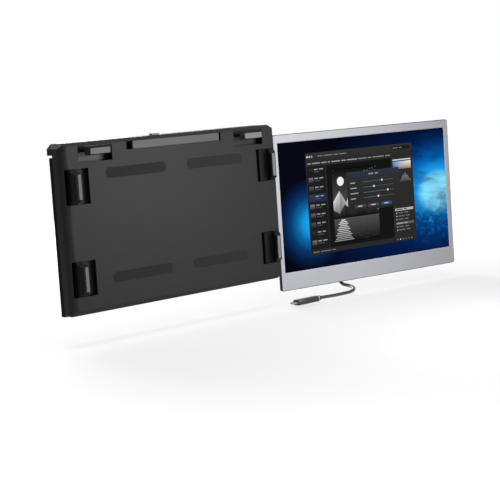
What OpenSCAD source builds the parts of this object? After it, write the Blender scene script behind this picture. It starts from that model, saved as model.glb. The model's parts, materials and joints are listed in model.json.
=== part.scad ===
// Screen extender for a laptop: a housing that hooks onto the back of the open lid,
// and a monitor that swings out at its right side. Six hooks on sliding carriages hold
// the lid, a kickstand covers the back, and a short lead joins monitor and laptop.
// X runs to the viewer's right, Y away from the viewer, Z up. The origin is the centre
// of the face that lies against the back of the lid. Millimetres.

/* [Laptop lid] */
// Width of the lid that the hooks hold
lid_w = 304.1; // [292:0.1:306]
// Thickness of the lid
lid_t = 4.5; // [4.2:0.1:6]
// Play between the lid and the hooks
lid_play = 0.5; // [0.3:0.1:1]

/* [Housing] */
// Height of the housing
case_h = 195; // [190:1:215]
// Depth of the housing without its kickstand
case_d = 22.6; // [22:0.1:26]
// Depth of the wide front part
front_d = 16.6; // [15:0.1:18]
// Wall thickness of the housing
wall = 2.4; // [2:0.1:2.6]
// Housing outside the left hooks
left_margin = 8.05; // [7.5:0.05:12]
// Housing outside the right hooks
right_margin = 3.35; // [3.3:0.05:6]
// Radius of the left front edge
left_round = 9; // [6:0.5:11]
// Step in the left side, behind the wide front part
left_step = 4.3; // [3:0.1:5]
// Bevel along the top front edge
bevel = 3.7; // [3:0.1:4.2]
// Bevel along the bottom front edge
foot_bevel = 6.2; // [4:0.1:7]
// Cut across the two top corners
corner_cut = 5.5; // [3:0.5:7]
// Corner radius at the bottom
case_r = 3; // [2.6:0.1:4]

/* [Hooks] */
// Height of the upper pair of side hooks
upper_hook_z = 48; // [46:1:50]
// Height of the lower pair of side hooks
lower_hook_z = -56; // [-60:1:-50]
// Distance of the top hooks from the middle
top_hook_x = 120.5; // [115:0.5:122]
// Length of a side hook where it leaves the housing
side_hook_l = 39.6; // [34:0.2:41]
// Length of a top hook where it leaves the housing
top_hook_l = 48; // [40:1:50]
// Length of a hook's front lip
lip_l = 28.5; // [20:0.5:32]
// Gap outside a left hook, for wider lids
left_gap = 4.4; // [2:0.1:4.8]
// How far a side lip reaches over the lid
side_lip = 2.6; // [2:0.1:5]
// How far a top lip reaches over the lid
top_lip = 7.5; // [4:0.5:9]
// Thickness of a side hook outside the lid's edge
side_hook_t = 8.1; // [6:0.1:8.4]
// Thickness of a top hook above the lid's edge
top_hook_t = 3.1; // [2.4:0.1:3.2]
// Depth of the front lips
lip_t = 4.9; // [4:0.1:6]
// Travel of the side hooks towards narrower lids
side_travel = 20; // [10:1:20]
// Travel of the top hooks towards lower lids
top_travel = 15; // [8:1:15]

/* [Lock slider] */
// Length of the slider in the front of the housing
lock_l = 136; // [120:1:138]
// Travel of the slider to the left
lock_left = 9.8; // [6:0.1:10]
// Travel of the slider to the right
lock_right = 3.4; // [2:0.1:4]
// Width of the thumb knob on top
knob_w = 11.3; // [9:0.1:14]
// Height of the thumb knob above the housing
knob_h = 2.1; // [2:0.1:4]

/* [Kickstand] */
// Depth of the kickstand
stand_d = 8.5; // [7.6:0.1:10]
// Height of the rail above the kickstand
rail_h = 13; // [12:0.5:16]
// Gap between the rail and the kickstand
stand_gap = 2.6; // [2:0.1:4]
// Distance of the kickstand's hinge lugs from the middle
lug_x = 110; // [80:1:120]

/* [Monitor] */
// Width of the opening for the screen
view_w = 296; // [270:0.5:300]
// Height of the opening for the screen
view_h = 166.5; // [150:0.5:170]
// Frame beside the screen
side_frame = 7.4; // [6:0.1:10]
// Frame above the screen
bezel_top = 10.8; // [8:0.1:14]
// Frame below the screen
chin = 22.9; // [20:0.1:28]
// Depth of the monitor's body
mon_d = 8.5; // [8:0.1:9]
// Depth of the monitor along its thin edges
mon_edge = 4.6; // [4:0.1:5]
// Top of the monitor below the top of the housing
mon_drop = 14.4; // [10:0.1:20]
// Angle of the monitor towards the viewer
mon_yaw = 6.55; // [0:0.05:12]

/* [Swing hinge] */
// Hinge axis to the right of the housing's side
axis_out = 15.3; // [13.4:0.1:18]
// Hinge axis behind the face that meets the lid
axis_y = 26; // [25.8:0.1:27]
// Height of the middle of the hinge
hinge_z = -10; // [-20:1:0]
// Length of the hinge
hinge_l = 80; // [60:1:90]
// Radius of the hinge barrel
barrel_r = 4.5; // [4:0.1:4.8]
// Radius of the hinge pin
pin_r = 2; // [1.5:0.1:2.5]
// Travel of the hinge plate out of the housing
plate_travel = 40; // [20:1:50]

/* [Lead] */
// Diameter of the lead
lead_d = 4.4; // [4:0.1:4.8]
// Width of a plug
plug_w = 11; // [10:0.5:12]
// Thickness of a plug
plug_t = 6.8; // [6:0.1:7]

/* [Hidden] */
$fn = 48;

shell_grey = "#3a3a3c";
hook_black = "#1c1c1d";
lip_grey = "#8e8e92";
steel = "#9a9ca0";
coated = "#2c2c2e";
silver = "#c8c8cc";
glass_black = "#07080c";
board_green = "#1f5a38";

sheet = 1.5;                            // thickness of a carriage plate
slip = 0.4;                             // gap between a moving piece and its window
run = 0.05;                             // radial play of a pin in its bore
cover_t = 2.2;                          // thickness of the rear cover
back_y = case_d;                        // back of the rear cover
cover_y = back_y - cover_t;             // inner face of the rear cover
shell_d = front_d - 2;                  // depth of the front shell, up to the cover's flange
right_gap = 1.4;                        // gap outside a right hook
right_round = 1.2;                      // radius of the right front edge
stand_y = back_y + 0.4;                 // front of the kickstand
rear_y = stand_y + stand_d;             // back of the whole housing
top_z = case_h / 2;
foot_z = -top_z;

lip_y = -lid_t - 0.6;                   // back of the front lips
lip_front = lip_y - lip_t;              // front of the front lips
pad_t = 0.6;                            // thickness of the grey lip pads
lip_corner = 3.8;                       // bevel between a lip's front and its outer side
side_pad_border = 1.7;                   // black face left beside a side hook's pad
foot_y = wall + 0.3;                    // front of a hook's foot, behind the front wall
side_plate_y = foot_y + 4.9;            // front of the side carriages
top_plate_y = side_plate_y + sheet + 1.9; // front of the top carriage
top_plate_l = 32;                       // how far the top carriage reaches down
side_s = lid_w / 2 + lid_play;          // inner face of the side hooks
top_s = top_z - bevel - 0.8 - top_hook_t; // inner face of the top hooks
right_x = side_s + side_hook_t + right_margin;
left_x = -side_s - side_hook_t - left_margin;
back_left_x = left_x + left_step;
side_plate_w = 46;
post_r = 2.5;
head_r = 4.5;
head_t = 1.2;
screw_r = 1.25;
side_post_x = side_s + side_hook_t - 38.6;
side_posts_z = [12, -20];
top_post_x = 60;
top_post_z = top_s - 23.9;
cover_posts = [
    [left_x + 18.5, top_z - 9.5], [right_x - 13.5, top_z - 9.5],
    [left_x + 18.5, -top_z + 9.5], [right_x - 13.5, -top_z + 9.5],
    [0, 30], [0, -top_z + 9.5]
];
cover_post_r = 3.4;

grip_l = 90;
grip_w = 12;
grip_x = 62;
grip_z = 60;
grip_proud = 0.3;
grip_sunk = 0.9;

lock_x = 3.2;                           // middle of the lock slider at rest
lock_z0 = top_z - bevel - 9.6;
lock_z1 = top_z - bevel - 0.4;
lock_half = lock_l / 2;
stem_w = 8;
stem_x = -24;                           // middle of the thumb knob at rest
stem_y0 = bevel + 3.5;
stem_d = 3.2;

stand_r = stand_d / 2;
stand_top = top_z - rail_h - stand_gap;
stand_axis_y = stand_y + stand_r;
stand_axis_z = stand_top - stand_r;
stand_left = back_left_x + 1.1;
stand_right = right_x - 1.2;
stand_bottom = foot_z - 1.5;            // stands out below the housing, for a finger
stand_skin = 2;
lug_w = 16;
lug_r = stand_r - 0.4;
knuckle_w = 10;
stand_pin_r = 1.5;
stand_solid = 12;                       // solid strip along the kickstand's hinge edge

plate_t = 2;
plate_y = back_y - plate_t - 0.1;       // front of the sliding hinge plate
tray_l = 129.5;
tray_x = right_x - tray_l;
tray_y = plate_y - 0.2 - 2.2;
tray_h = hinge_l + 8;
lip_step = 3;

axis_x = right_x + axis_out;
leaf_t = 1.5;
mon_ax = barrel_r;                      // hinge axis from the monitor's left edge
mon_ay = 2 * mon_d;                     // hinge axis behind the monitor's front
mon_w = view_w + 2 * side_frame;
mon_h = view_h + bezel_top + chin;
mon_bottom = top_z - mon_drop - mon_h;
leaf_z = hinge_z - mon_bottom;          // middle of the hinge above the monitor's foot
rim = 0.7;                              // dark rim of the back shell round the silver frame
frame_t = 1.2;
segment = hinge_l / 5;

port_x = 106.8;                         // middle of the port from the monitor's left edge
port_z = 12.5;
plug_z = 7;                             // foot of the monitor's plug above the monitor's foot
plug_h = 10.4;
board_y = 2.2;
board_t = 1.2;
board_l = 130;
board_port = 46.8;                      // port from the board's left end
chips_x = [12, 70, 100];
tip_w = 8.3;
tip_t = 2.5;
plug_y = mon_d + 0.2;
button_x = 40;
button_r = 3;

// Route of the lead from the monitor's plug to the laptop's plug
LEAD = [
    [280.4, 9.5, -112.5], [280.4, 9.5, -114.5], [280.4, 8.9, -117],
    [280.5, 7.2, -119.4], [280.7, 4.7, -121.2], [280.9, 1.5, -122.3],
    [281, -2.5, -122.8], [280.8, -7, -123.2], [279.7, -12, -123.7],
    [277.5, -17, -124.3], [273.9, -22, -125], [269, -26.3, -125.7],
    [262.7, -29.7, -126.4], [255.4, -31.6, -126.8], [247.2, -32, -127],
    [238, -32, -127], [228, -32, -127], [218, -32, -126.8], [209, -32, -126.4],
    [203, -32, -126.2], [198, -32, -126.2]
];
lead_sides = 10;
laptop_end = LEAD[len(LEAD) - 1];
collar_l = 6;
laptop_plug_l = 38;

// ---------- helpers ----------

// Extrudes a shape drawn in X and Z from y0 to y1
module along_y(y0, y1) {
    translate([0, y1, 0]) rotate([90, 0, 0]) linear_extrude(y1 - y0) children();
}

// Extrudes a shape drawn in Y and Z from x0 to x1
module along_x(x0, x1) {
    translate([x0, 0, 0]) rotate([90, 0, 90]) linear_extrude(x1 - x0) children();
}

// A block between two corners
module block(a, b) {
    translate(a) cube(b - a);
}

// A cylinder along Y
module rod_y(x, z, r, y0, y1) {
    translate([x, y1, z]) rotate([90, 0, 0]) cylinder(h = y1 - y0, r = r);
}

// A cylinder along X
module rod_x(y, z, r, x0, x1) {
    translate([x0, y, z]) rotate([0, 90, 0]) cylinder(h = x1 - x0, r = r);
}

module round_rect(w, h, r) {
    square([w - 2 * r, h], center = true);
    square([w, h - 2 * r], center = true);
    for (x = [-1, 1], y = [-1, 1])
        translate([x * (w / 2 - r), y * (h / 2 - r)]) circle(r = r);
}

// A slot with round ends, along X, from x0 to x1
module slot_2d(x0, x1, r) {
    translate([x0, -r]) square([x1 - x0, 2 * r]);
    for (x = [x0, x1]) translate([x, 0]) circle(r = r);
}

// Mirrors its children to the left as well
module both_sides() {
    children();
    mirror([1, 0, 0]) children();
}

module place_monitor() {
    translate([axis_x, axis_y, mon_bottom]) rotate([0, 0, -mon_yaw])
        translate([-mon_ax, -mon_ay, 0]) children();
}

// ---------- housing ----------

// Outline of the housing seen from the front, from x0 to x1, drawn in by t
module case_outline(x0, x1, t) {
    c = corner_cut;
    a = x0 + t;
    b = x1 - t;
    h = top_z - t;
    intersection() {
        translate([(a + b) / 2, 0]) round_rect(b - a, 2 * h, case_r);
        polygon([[a, -h], [b, -h], [b, h - c], [b - c, h], [a + c, h], [a, h - c]]);
    }
}

// Section of the housing seen from the side, with the two front bevels
module case_section(t, d) {
    k = t * (sqrt(2) - 1);
    z = top_z - t;
    polygon([[t, top_z - bevel - k], [bevel + k, z], [d, z], [d, -z],
             [foot_bevel + k, -z], [t, foot_z + foot_bevel + k]]);
}

// Plan of the housing seen from above, with a round left front edge
module case_plan(t, d) {
    r1 = left_round - t;
    r2 = max(right_round - t, 0.1);
    translate([left_x + t, t + r1]) square([right_x - left_x - 2 * t, d - t - r1]);
    translate([left_x + t + r1, t]) square([right_x - left_x - 2 * t - r1 - r2, d - t]);
    translate([right_x - t - 2 * r2, t + r2]) square([2 * r2, d - t - r2]);
    translate([left_x + t + r1, t + r1]) circle(r = r1);
    translate([right_x - t - r2, t + r2]) circle(r = r2);
}

module case_solid(t, d) {
    intersection() {
        along_y(t, d) case_outline(left_x, right_x, t);
        along_x(left_x, right_x) case_section(t, d);
        translate([0, 0, foot_z]) linear_extrude(case_h) case_plan(t, d);
    }
}

// Window in the front wall for a side hook and its travel
module side_window(z, gap) {
    block([side_s - side_travel - slip, -1, z - side_hook_l / 2 - slip],
          [side_s + side_hook_t + gap, foot_y + left_gap, z + side_hook_l / 2 + slip]);
}

// Window in the front wall for a top hook and its travel
module top_window() {
    block([top_hook_x - top_hook_l / 2 - slip, -1, top_s - top_travel - slip],
          [top_hook_x + top_hook_l / 2 + slip, foot_y + 1, top_s + top_hook_t + 0.3]);
}

module front_shell() color(shell_grey) {
    difference() {
        union() {
            difference() {
                case_solid(0, shell_d);
                case_solid(wall, shell_d + 1);
            }
            for (p = cover_posts) rod_y(p[0], p[1], cover_post_r, wall - 0.2, cover_y);
            both_sides() {
                for (z = side_posts_z)
                    rod_y(side_post_x, z, post_r, wall - 0.2, side_plate_y + sheet + 0.3);
                rod_y(top_post_x, top_post_z, post_r, wall - 0.2, top_plate_y + sheet + 0.3);
            }
        }
        for (z = [upper_hook_z, lower_hook_z]) {
            side_window(z, right_gap);
            mirror([1, 0, 0]) side_window(z, left_gap);
        }
        both_sides() {
            top_window();
            for (z = side_posts_z)
                rod_y(side_post_x, z, screw_r + run, wall + 1, side_plate_y + sheet + 1);
            rod_y(top_post_x, top_post_z, screw_r + run, wall + 1, top_plate_y + sheet + 1);
            grip_pad(0.02);
        }
        for (p = cover_posts) rod_y(p[0], p[1], screw_r + run, cover_y - 10, cover_y + 1);
        // window of the lock slider and slot of its thumb knob
        block([lock_x - lock_half - lock_left, -1, lock_z0],
              [lock_x + lock_half + lock_right, wall + 0.8, lock_z1 + 0.3]);
        block([stem_x - stem_w / 2 - lock_left - slip, stem_y0 - 0.3, top_z - wall - 1],
              [stem_x + stem_w / 2 + lock_right + slip, stem_y0 + stem_d + 0.3, top_z + 1]);
    }
}

// Inlaid strips on the face that meets the lid
module grip_pad(play) {
    along_y(-grip_proud, grip_sunk + play) for (z = [-grip_z, grip_z]) translate([grip_x, z])
        round_rect(grip_l + 2 * play, grip_w + 2 * play, grip_w / 2 - 1);
}

module grip_pads() color(hook_black) both_sides() grip_pad(0);

module guide_screw(x, z, y) {
    rod_y(x, z, head_r, y, y + head_t);
    rod_y(x, z, screw_r, wall + 1.2, y + 0.1);
}

module guide_screws() color(steel) both_sides() {
    for (z = side_posts_z) guide_screw(side_post_x, z, side_plate_y + sheet + 0.3);
    guide_screw(top_post_x, top_post_z, top_plate_y + sheet + 0.3);
}

module rear_cover() color(shell_grey) {
    difference() {
        union() {
            difference() {
                union() {
                    along_y(shell_d, front_d) case_outline(left_x, right_x, 0);
                    along_y(front_d - 0.1, back_y) case_outline(back_left_x, right_x, 0);
                }
                along_y(shell_d - 1, cover_y) case_outline(back_left_x, right_x, wall);
            }
            // rail above the kickstand, its back edges cut at an angle
            intersection() {
                along_y(back_y - 0.1, rear_y) case_outline(back_left_x, right_x, 0);
                along_x(left_x, right_x) polygon([
                    [back_y - 0.1, top_z - rail_h], [rear_y, top_z - rail_h],
                    [rear_y, top_z - 1.5], [rear_y - 1.5, top_z], [back_y - 0.1, top_z]]);
            }
            // tray of the hinge plate
            block([tray_x, tray_y, hinge_z - tray_h / 2],
                  [right_x, back_y, hinge_z + tray_h / 2]);
            both_sides() stand_lug();
        }
        // channel of the hinge plate: wide at the bottom, with lips over the plate's edges
        block([tray_x + 3, plate_y - 0.2, hinge_z - hinge_l / 2 - 0.3],
              [right_x + 1, plate_y + plate_t / 2 + 0.2, hinge_z + hinge_l / 2 + 0.3]);
        block([tray_x + 3, plate_y - 0.2, hinge_z - hinge_l / 2 + lip_step - 0.3],
              [right_x + 1, back_y + 1, hinge_z + hinge_l / 2 - lip_step + 0.3]);
        both_sides() rod_x(stand_axis_y, stand_axis_z, stand_pin_r + 0.02,
                           lug_x - lug_w / 2 - 1, lug_x + lug_w / 2 + 1);
        for (p = cover_posts) {
            rod_y(p[0], p[1], screw_r + 0.2, cover_y - 1, back_y + 1);
            rod_y(p[0], p[1], 2.6, back_y - 1.3, back_y + 1);
        }
    }
}

module stand_lug() {
    along_x(lug_x - lug_w / 2, lug_x + lug_w / 2) {
        translate([stand_axis_y, stand_axis_z]) circle(r = lug_r);
        translate([back_y - 0.1, stand_axis_z - lug_r])
            square([stand_axis_y - back_y + 0.1, 2 * lug_r]);
    }
}

module cover_screws() color(steel) for (p = cover_posts) {
    rod_y(p[0], p[1], 2.4, back_y - 1.3, back_y - 0.2);
    rod_y(p[0], p[1], screw_r, cover_y - 8, back_y - 1.2);
}

// ---------- hooks and their carriages ----------

// A hook: s points outwards from the lid's edge, Y to the back, and the length is along Z
module hook(out, reach, body_l, foot_in, back) {
    corner = min(out, lip_corner);
    front = lip_front + pad_t;
    intersection() {
        linear_extrude(body_l, center = true) polygon([
            [-foot_in, foot_y], [0, foot_y], [0, lip_y], [-reach, lip_y],
            [-reach, front + 1], [-reach + 1, front],
            [out - corner, front], [out, front + corner], [out, back], [-foot_in, back]]);
        rotate([0, 90, 0]) translate([0, 0, -reach - foot_in - 1])
            linear_extrude(out + reach + foot_in + 2) polygon([
                [body_l / 2, back], [-body_l / 2, back], [-body_l / 2, -1],
                [-lip_l / 2, front], [lip_l / 2, front], [body_l / 2, -1]]);
    }
}

// The grey pad on a hook's front lip
module lip_pad(out, reach, border) {
    outer = out - min(out, lip_corner) - border;
    translate([0, lip_front + pad_t, 0]) rotate([90, 0, 0]) linear_extrude(pad_t)
        polygon([[-reach + 1, -lip_l / 2 + 1], [-reach + 2, -lip_l / 2],
                 [outer - 1, -lip_l / 2], [outer, -lip_l / 2 + 1],
                 [outer, lip_l / 2 - 1], [outer - 1, lip_l / 2],
                 [-reach + 2, lip_l / 2], [-reach + 1, lip_l / 2 - 1]]);
}

module side_hooks() for (z = [upper_hook_z, lower_hook_z])
    translate([side_s, 0, z]) hook(side_hook_t, side_lip, side_hook_l, 12, side_plate_y);

module side_lip_pads() for (z = [upper_hook_z, lower_hook_z])
    translate([side_s, 0, z]) lip_pad(side_hook_t, side_lip, side_pad_border);

module side_carriage(out) {
    x1 = side_s + side_hook_t;
    difference() {
        block([x1 - side_plate_w, side_plate_y, lower_hook_z - side_hook_l / 2],
              [x1, side_plate_y + sheet, upper_hook_z + side_hook_l / 2]);
        along_y(side_plate_y - 1, side_plate_y + sheet + 1) for (z = side_posts_z)
            translate([0, z])
                slot_2d(side_post_x - out - slip, side_post_x + side_travel + slip, post_r + 0.3);
    }
}

module top_hooks() color(hook_black) both_sides() translate([top_hook_x, 0, top_s])
    rotate([0, -90, 0]) hook(top_hook_t, top_lip, top_hook_l, 4, top_plate_y);

module top_lip_pads() color(lip_grey) both_sides() translate([top_hook_x, 0, top_s])
    rotate([0, -90, 0]) lip_pad(top_hook_t, top_lip, 0);

module top_carriage() color(coated) {
    half = top_hook_x + top_hook_l / 2;
    difference() {
        block([-half, top_plate_y, top_s - top_plate_l],
              [half, top_plate_y + sheet, top_s + top_hook_t - 0.5]);
        both_sides() translate([top_post_x, 0, 0]) rotate([0, -90, 0])
            along_y(top_plate_y - 1, top_plate_y + sheet + 1)
                slot_2d(top_post_z - slip, top_post_z + top_travel + slip, post_r + 0.3);
    }
}

module right_hooks() color(hook_black) side_hooks();
module left_hooks() color(hook_black) mirror([1, 0, 0]) side_hooks();
module right_lip_pads() color(lip_grey) side_lip_pads();
module left_lip_pads() color(lip_grey) mirror([1, 0, 0]) side_lip_pads();
module right_carriage() color(coated) side_carriage(0);
module left_carriage() color(coated) mirror([1, 0, 0]) side_carriage(left_gap);

// ---------- lock slider ----------

module lock_slider() color(shell_grey) {
    x0 = lock_x - lock_half;
    x1 = lock_x + lock_half;
    block([x0, 0, lock_z0 + 0.3], [x1, wall + 0.4, lock_z1]);
    // flange behind the window
    block([x0 + 4, wall + 0.3, lock_z0 - 2.5], [x1 - 4, wall + 2.2, lock_z1 - 0.9]);
    // arm and stem of the thumb knob
    block([stem_x - stem_w / 2, wall + 2, lock_z0],
          [stem_x + stem_w / 2, stem_y0 + stem_d, lock_z1 - 0.9]);
    block([stem_x - stem_w / 2, stem_y0, lock_z1 - 1],
          [stem_x + stem_w / 2, stem_y0 + stem_d, top_z + 0.2]);
}

module lock_knob() color(lip_grey) {
    y0 = stem_y0 - 1.2;
    y1 = stem_y0 + stem_d + 1.2;
    z0 = top_z + 0.2;
    translate([stem_x - knob_w / 2, 0, z0]) difference() {
        along_x(0, knob_w) polygon([[y0, 0], [y1, 0], [y1, knob_h - 0.6],
            [y1 - 0.6, knob_h], [y0 + 0.6, knob_h], [y0, knob_h - 0.6]]);
        for (n = [1 : 4]) translate([n * knob_w / 5 - 0.3, y0 - 1, knob_h - 0.4])
            cube([0.6, y1 - y0 + 2, 1]);
    }
}

// ---------- kickstand ----------

module kickstand() color(shell_grey) {
    cells_x = 6;
    cells_z = 3;
    rib = 2.4;
    pocket_w = (stand_right - stand_left - rib) / cells_x - rib;
    pocket_top = stand_axis_z - stand_solid;
    pocket_h = (pocket_top - stand_bottom - rib) / cells_z - rib;
    difference() {
        intersection() {
            along_x(stand_left, stand_right) {
                translate([stand_axis_y, stand_axis_z]) circle(r = stand_r);
                polygon([[stand_y, stand_bottom], [rear_y - 2, stand_bottom],
                    [rear_y, stand_bottom + 2], [rear_y, stand_axis_z],
                    [stand_y, stand_axis_z]]);
            }
            translate([0, 0, stand_bottom]) linear_extrude(case_h) polygon([
                [stand_left, stand_y], [stand_right, stand_y], [stand_right, rear_y - 1.5],
                [stand_right - 1.5, rear_y], [stand_left + 1.5, rear_y],
                [stand_left, rear_y - 1.5]]);
        }
        for (i = [0 : cells_x - 1], j = [0 : cells_z - 1])
            translate([stand_left + rib + i * (pocket_w + rib), stand_y - 1,
                       stand_bottom + rib + j * (pocket_h + rib)])
                cube([pocket_w, stand_d - stand_skin + 1, pocket_h]);
        both_sides() {
            block([lug_x - lug_w / 2 - slip, stand_y - 1, stand_axis_z - stand_r - 3],
                  [lug_x + lug_w / 2 + slip, rear_y + 1, stand_top + 1]);
            rod_x(stand_axis_y, stand_axis_z, stand_pin_r + run,
                  lug_x - lug_w / 2 - knuckle_w, lug_x + lug_w / 2 + knuckle_w);
        }
        for (x = [-1, 1]) translate([x * 120, 0, 0]) foot_seat(0.02);
    }
}

// Rubber foot let into the kickstand's lower edge
module foot_seat(play) {
    block([-20 - play, stand_y + 2 - play, stand_bottom - 0.8],
          [20 + play, stand_y + 5.5 + play, stand_bottom + 1.2 + play]);
}

module kickstand_feet() color(hook_black)
    for (x = [-1, 1]) translate([x * 120, 0, 0]) foot_seat(0);

module kickstand_pins() color(steel) both_sides()
    rod_x(stand_axis_y, stand_axis_z, stand_pin_r,
          lug_x - lug_w / 2 - knuckle_w + 0.5, lug_x + lug_w / 2 + knuckle_w - 0.5);

// ---------- hinge ----------

// One knuckle of the hinge barrel, centred on segment n of five
module hinge_segment(n) {
    translate([0, 0, (n - 2) * segment - segment / 2 + 0.2])
        linear_extrude(segment - 0.4) children();
}

module hinge_plate() color(coated) {
    x0 = tray_x + 6;
    x1 = axis_x - barrel_r - 0.5;
    reach = axis_y - plate_y;
    difference() {
        union() {
            block([x0, plate_y, hinge_z - hinge_l / 2],
                  [right_x + 0.4, plate_y + plate_t / 2, hinge_z + hinge_l / 2]);
            block([x0, plate_y, hinge_z - hinge_l / 2 + lip_step],
                  [right_x + 0.4, plate_y + plate_t, hinge_z + hinge_l / 2 - lip_step]);
            block([right_x + 0.3, plate_y, hinge_z - hinge_l / 2 + 0.2],
                  [x1, plate_y + plate_t, hinge_z + hinge_l / 2 - 0.2]);
            translate([axis_x, axis_y, hinge_z]) for (n = [0, 2, 4]) hinge_segment(n) {
                circle(r = barrel_r);
                polygon([[x1 - axis_x - 1, -reach], [0, -reach], [2.6, -3.6], [-4.3, 0.6],
                         [x1 - axis_x - 1, -reach + plate_t]]);
            }
        }
        translate([axis_x, axis_y, hinge_z - hinge_l / 2 - 1])
            cylinder(h = hinge_l + 2, r = pin_r + 0.03);
        // three holes that lighten the plate
        for (n = [0 : 2]) rod_y(x0 + 22 + n * 30, hinge_z, 9, plate_y - 1, plate_y + plate_t + 1);
    }
}

module hinge_pin() color("#6d6f73") translate([axis_x, axis_y, hinge_z]) {
    cylinder(h = hinge_l + 0.6, r = pin_r, center = true);
    for (k = [-1, 1]) translate([0, 0, k * (hinge_l / 2 + 0.9)])
        cylinder(h = 1.4, r = pin_r + 1.5, center = true);
}

module monitor_leaf() color(coated) place_monitor() difference() {
    union() {
        translate([0, 0, leaf_z]) {
            for (n = [1, 3]) hinge_segment(n) {
                translate([mon_ax, mon_ay]) circle(r = barrel_r);
                polygon([[mon_ax - 3.8, mon_ay - 2.4], [12.2, mon_d], [20, mon_d],
                         [20, mon_d + leaf_t], [16.5, mon_d + leaf_t],
                         [mon_ax + 3.4, mon_ay + 2.9]]);
            }
        }
        along_y(mon_d, mon_d + leaf_t) translate([33, leaf_z]) round_rect(40, 56, 4);
    }
    translate([mon_ax, mon_ay, leaf_z - hinge_l / 2]) cylinder(h = hinge_l, r = pin_r + run);
    leaf_holes(1.7, mon_d - 1, mon_d + leaf_t + 1);
}

module leaf_holes(r, y0, y1) {
    for (x = [26, 46], z = [-20, 20]) rod_y(x, leaf_z + z, r, y0, y1);
}

module leaf_screws() color("#6d6f73") place_monitor() {
    leaf_holes(1.4, mon_d - 1.3, mon_d + leaf_t + 0.1);
    leaf_holes(2.8, mon_d + leaf_t, mon_d + leaf_t + 0.9);
}

// ---------- monitor ----------

// The back of the monitor: a raised field with sloping sides on a thin plate
module back_field(t) {
    x0 = 8 + t;
    z0 = 3 + t;
    top = mon_h - 8 - t;
    d = mon_d - t;
    e = mon_edge - 0.1;
    intersection() {
        translate([0, 0, z0]) linear_extrude(top - z0) polygon([
            [x0, e], [mon_w - x0, e], [mon_w - x0 - 4, d], [x0 + 4, d]]);
        along_x(x0, mon_w - x0) polygon([[e, z0], [d, z0 + 3], [d, top - 4], [e, top]]);
    }
}

module monitor_back_shell() color(hook_black) place_monitor() difference() {
    union() {
        along_y(0.2, mon_edge) translate([mon_w / 2, mon_h / 2]) round_rect(mon_w, mon_h, 3);
        back_field(0);
    }
    // seat of the silver frame
    along_y(0, frame_t + 0.05) translate([mon_w / 2, mon_h / 2])
        round_rect(mon_w - 2 * rim + 0.1, mon_h - 2 * rim + 0.1, 2.3);
    // room for the screen, the light and the board
    along_y(0, mon_edge - 1.4) translate([mon_w / 2, mon_h / 2])
        round_rect(mon_w - 2 * 2.4, mon_h - 2 * 2.4, 2);
    block([13.5, 0, 7.5], [mon_w - 13.5, mon_d - 1.4, mon_h - 13.5]);
    leaf_holes(1.45, mon_d - 3, mon_d + 1);
    rod_y(button_x, port_z, button_r + 0.15, mon_d - 3, mon_d + 1);
    translate([port_x, 0, port_z]) along_y(mon_d - 3, mon_d + 1)
        slot_2d(-3.4, 3.4, 1.9);
    // vents above the board
    for (n = [0 : 9]) translate([150 + n * 6, mon_d - 3, 9]) cube([2.4, 5, 9]);
}

module monitor_bezel() color(silver) place_monitor() difference() {
    along_y(0, frame_t) translate([mon_w / 2, mon_h / 2])
        round_rect(mon_w - 2 * rim, mon_h - 2 * rim, 2.3);
    block([side_frame, -1, chin], [side_frame + view_w, 3, chin + view_h]);
    // slope round the opening
    intersection() {
        translate([0, 0, chin - 2]) linear_extrude(view_h + 4) polygon([
            [side_frame - 2, -1], [side_frame + view_w + 2, -1],
            [side_frame + view_w, 1], [side_frame, 1]]);
        along_x(side_frame - 2, side_frame + view_w + 2) polygon([
            [-1, chin - 2], [1, chin], [1, chin + view_h], [-1, chin + view_h + 2]]);
    }
}

module display_panel() color(glass_black) place_monitor()
    block([side_frame - 1.5, frame_t + 0.05, chin - 1.5],
          [side_frame + view_w + 1.5, frame_t + 0.85, chin + view_h + 1.5]);

module backlight() color(steel) place_monitor()
    block([14, frame_t + 0.9, chin + 0.3], [mon_w - 14, frame_t + 3.8, mon_h - 14]);

module driver_board() color(board_green) place_monitor() {
    x0 = port_x - board_port;
    block([x0, board_y, 8], [x0 + board_l, board_y + board_t, chin - 1]);
    for (x = chips_x) translate([x0 + x, board_y + board_t, 11]) cube([10, 1.4, 8]);
}

module usb_socket() color(steel) place_monitor() translate([port_x, 0, port_z])
    difference() {
        along_y(board_y + 1.2, mon_d - 0.3) slot_2d(-3.1, 3.1, 1.55);
        along_y(board_y + 1.7, mon_d + 1) slot_2d(-(tip_w - tip_t) / 2, (tip_w - tip_t) / 2,
                                                 tip_t / 2 + 0.1);
    }

module power_button() color("#2c2c2e") place_monitor() {
    rod_y(button_x, port_z, button_r, mon_d - 1.3, mon_d + 0.8);
    rod_y(button_x, port_z, button_r + 1, mon_d - 2.6, mon_d - 1.6);
    rod_y(button_x, port_z, button_r - 0.5, mon_d - 1.7, mon_d - 1.2);
}

// ---------- lead ----------

module monitor_plug() color(hook_black) place_monitor()
    translate([port_x, plug_y + plug_t / 2, 0]) intersection() {
        translate([0, 0, plug_z]) linear_extrude(plug_h) round_rect(plug_w, plug_t, 1.6);
        along_y(-plug_t / 2, plug_t / 2) translate([0, plug_z + plug_h / 2])
            round_rect(plug_w, plug_h, 2);
    }

module monitor_plug_tip() color(steel) place_monitor() translate([port_x, 0, port_z])
    along_y(board_y + 1.9, plug_y) slot_2d(-(tip_w - tip_t) / 2, (tip_w - tip_t) / 2, tip_t / 2);

// Short cone where the lead leaves the monitor's plug
module lead_boot() color(hook_black) translate([LEAD[0][0], LEAD[0][1], LEAD[0][2]])
    cylinder(h = mon_bottom + plug_z - LEAD[0][2], r1 = lead_d / 2 + 0.3, r2 = lead_d / 2 + 1);

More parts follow.
